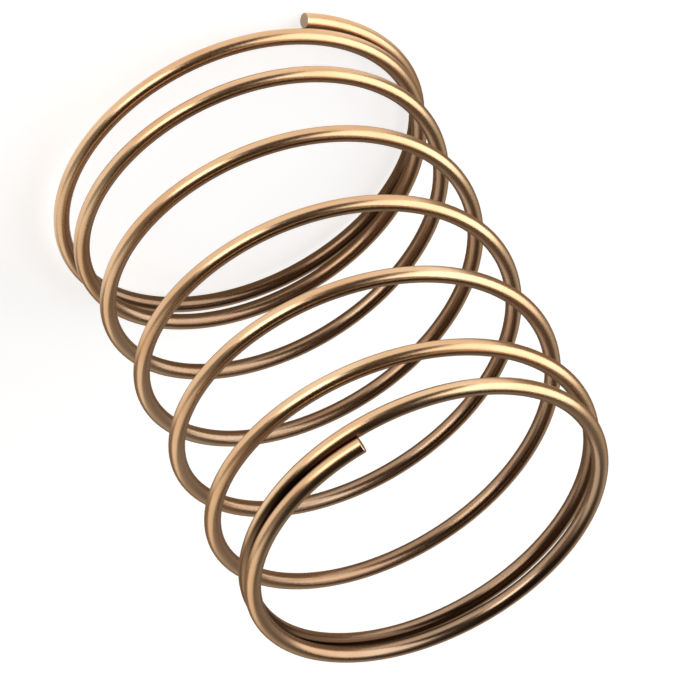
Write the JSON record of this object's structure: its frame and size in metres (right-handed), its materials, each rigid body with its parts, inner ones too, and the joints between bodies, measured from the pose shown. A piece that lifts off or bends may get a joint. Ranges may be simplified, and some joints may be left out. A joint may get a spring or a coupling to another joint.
{
  "type": "injection pump compression spring",
  "caption": "Left-hand coiled compression spring of an injection pump, round wire, closed unground ends, one opening slowly over the last coils.",
  "frame": {"origin": "on the spring's axis, where its lower end coil touches the ground", "axes": "+Z along the spring's axis to the upper end; +X towards the lower wire tip"},
  "size_m": [0.0309, 0.0312, 0.0408],
  "materials": {
    "spring_wire": "smooth drawn spring wire with the golden brown oxide that stress relief leaves"
  },
  "bodies": {
    "root": {"spring": "spring_wire"}
  },
  "joints": []
}
